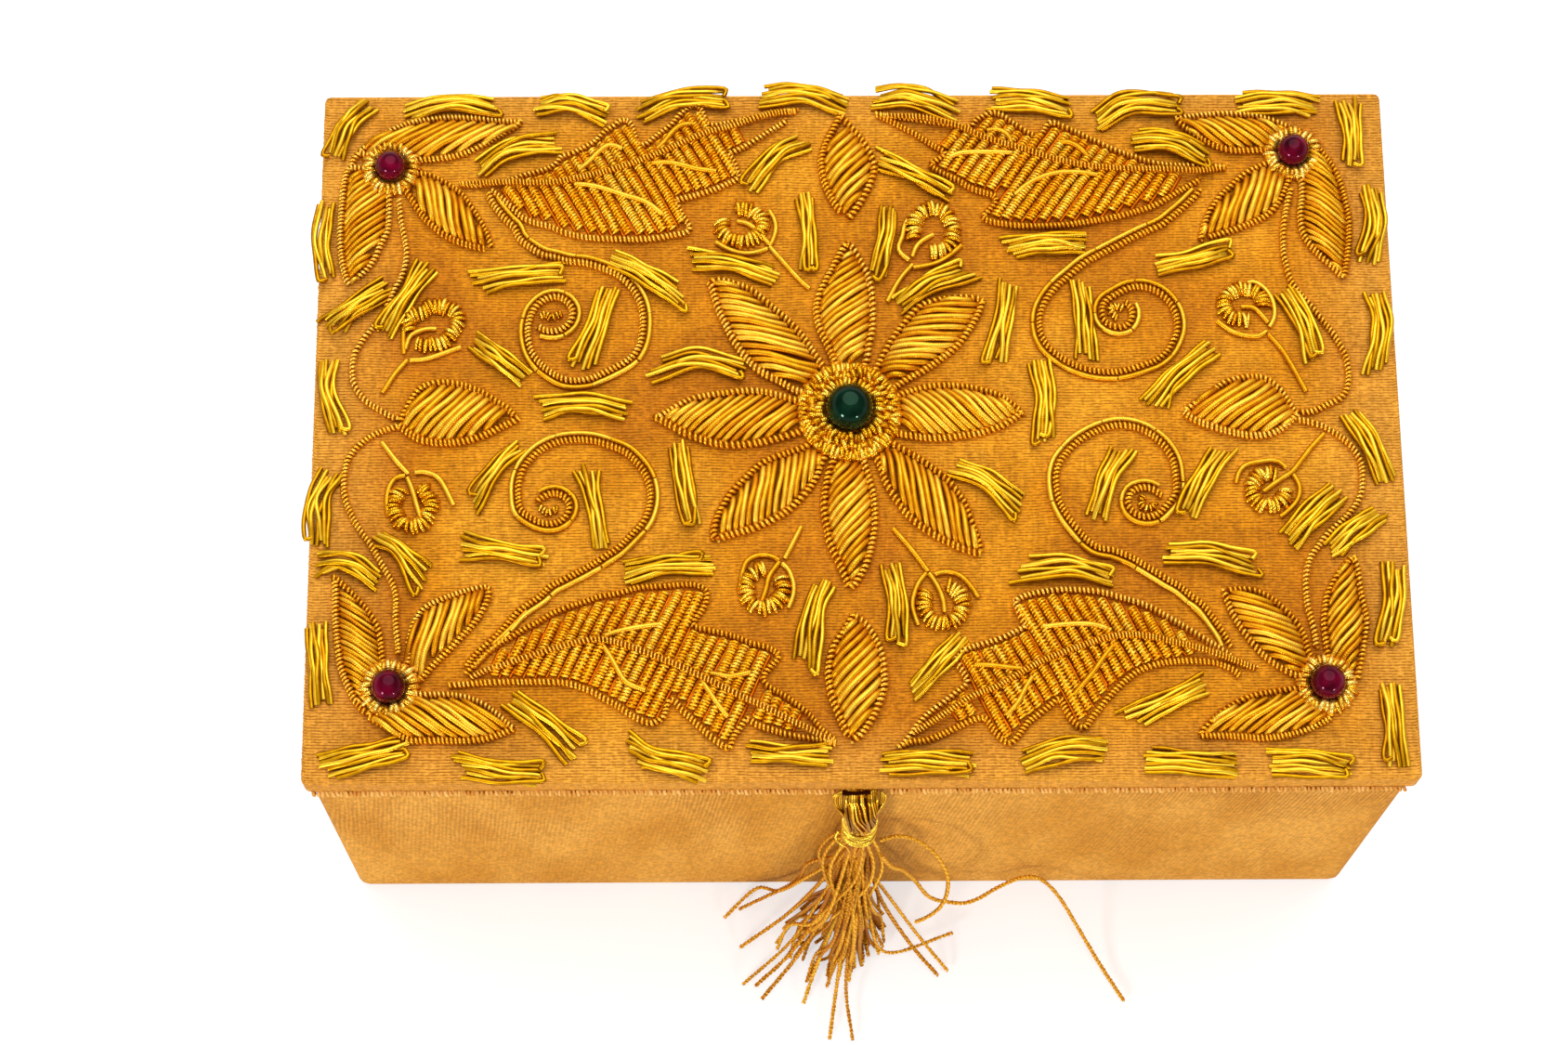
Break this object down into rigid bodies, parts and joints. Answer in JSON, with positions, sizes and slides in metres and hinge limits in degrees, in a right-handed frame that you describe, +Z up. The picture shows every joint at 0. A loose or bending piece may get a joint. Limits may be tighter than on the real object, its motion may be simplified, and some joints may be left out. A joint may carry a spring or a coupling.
{
  "type": "embroidered keepsake box",
  "caption": "Cloth-covered rectangular keepsake box with a hinged lid, raised gold bullion flowers and leaves, glass beads and a gold thread tassel.",
  "frame": {"origin": "centre of the underside of the closed box, on the surface it stands on", "axes": "+X to the right along the long side, +Y to the back where the hinge is, +Z up; the tassel hangs at -Y"},
  "size_m": [0.152, 0.126, 0.0737],
  "materials": {
    "tissue_silk": "golden-orange tissue silk with a fine dark horizontal weft",
    "cardboard": "raw grey-brown board",
    "wadding": "thin off-white wadding",
    "lining_satin": "gold satin over thin padding",
    "hinge_cloth": "doubled tissue silk",
    "gold_wire": "bright gold bullion wire, coiled and smooth",
    "gold_thread": "twisted metallic gold thread",
    "green_glass": "polished dark green glass, nearly opaque",
    "ruby_glass": "polished ruby red glass"
  },
  "bodies": {
    "base": {"base_cover": "tissue_silk", "bottom_board": "cardboard", "front_board": "cardboard", "back_board": "cardboard", "left_board": "cardboard", "right_board": "cardboard", "side_cover": "tissue_silk", "front_lining": "lining_satin", "back_lining": "lining_satin", "left_lining": "lining_satin", "right_lining": "lining_satin", "floor_pad": "lining_satin", "hinge_wall_leaf": "hinge_cloth"},
    "lid": {"lid_board": "cardboard", "lid_wadding": "wadding", "lid_cover": "tissue_silk", "lid_lining": "lining_satin", "hinge_lid_leaf": "hinge_cloth", "tassel_tie": "gold_thread", "centre_bead": "green_glass", "centre_collar": "gold_wire", "petal_back": "gold_wire", "petal_back_right": "gold_wire", "petal_right": "gold_wire", "petal_front_right": "gold_wire", "petal_front": "gold_wire", "petal_front_left": "gold_wire", "petal_left": "gold_wire", "petal_back_left": "gold_wire", "almond_leaf_back": "gold_wire", "almond_leaf_front": "gold_wire", "corner_flower_back_left": "gold_wire", "corner_flower_back_right": "gold_wire", "corner_flower_front_left": "gold_wire", "corner_flower_front_right": "gold_wire", "corner_bead_back_left": "ruby_glass", "corner_bead_back_right": "ruby_glass", "corner_bead_front_left": "ruby_glass", "corner_bead_front_right": "ruby_glass", "side_spray_left": "gold_wire", "side_spray_right": "gold_wire", "leaf_spray_back_left": "gold_wire", "leaf_spray_back_right": "gold_wire", "leaf_spray_front_left": "gold_wire", "leaf_spray_front_right": "gold_wire", "rosette_left_back": "gold_wire", "rosette_left_front": "gold_wire", "rosette_back_left": "gold_wire", "rosette_back_right": "gold_wire", "rosette_front_left": "gold_wire", "rosette_front_right": "gold_wire", "rosette_right_back": "gold_wire", "rosette_right_front": "gold_wire"},
    "tassel": {"tassel_head": "gold_thread", "neck_binding": "gold_thread", "tassel_skirt": "gold_thread", "stray_strand_long": "gold_thread", "stray_strand_loop": "gold_thread"}
  },
  "joints": [
    {"name": "lid_hinge", "type": "hinge", "parent": "base", "child": "lid", "pos_m": [0, 0.0513, 0.06285], "axis": [-1, 0, 0], "range_deg": [0, 110]},
    {"name": "tassel_swing", "type": "hinge", "parent": "lid", "child": "tassel", "pos_m": [0, -0.0522, 0.06345], "axis": [-1, 0, 0], "range_deg": [0, 90]}
  ]
}
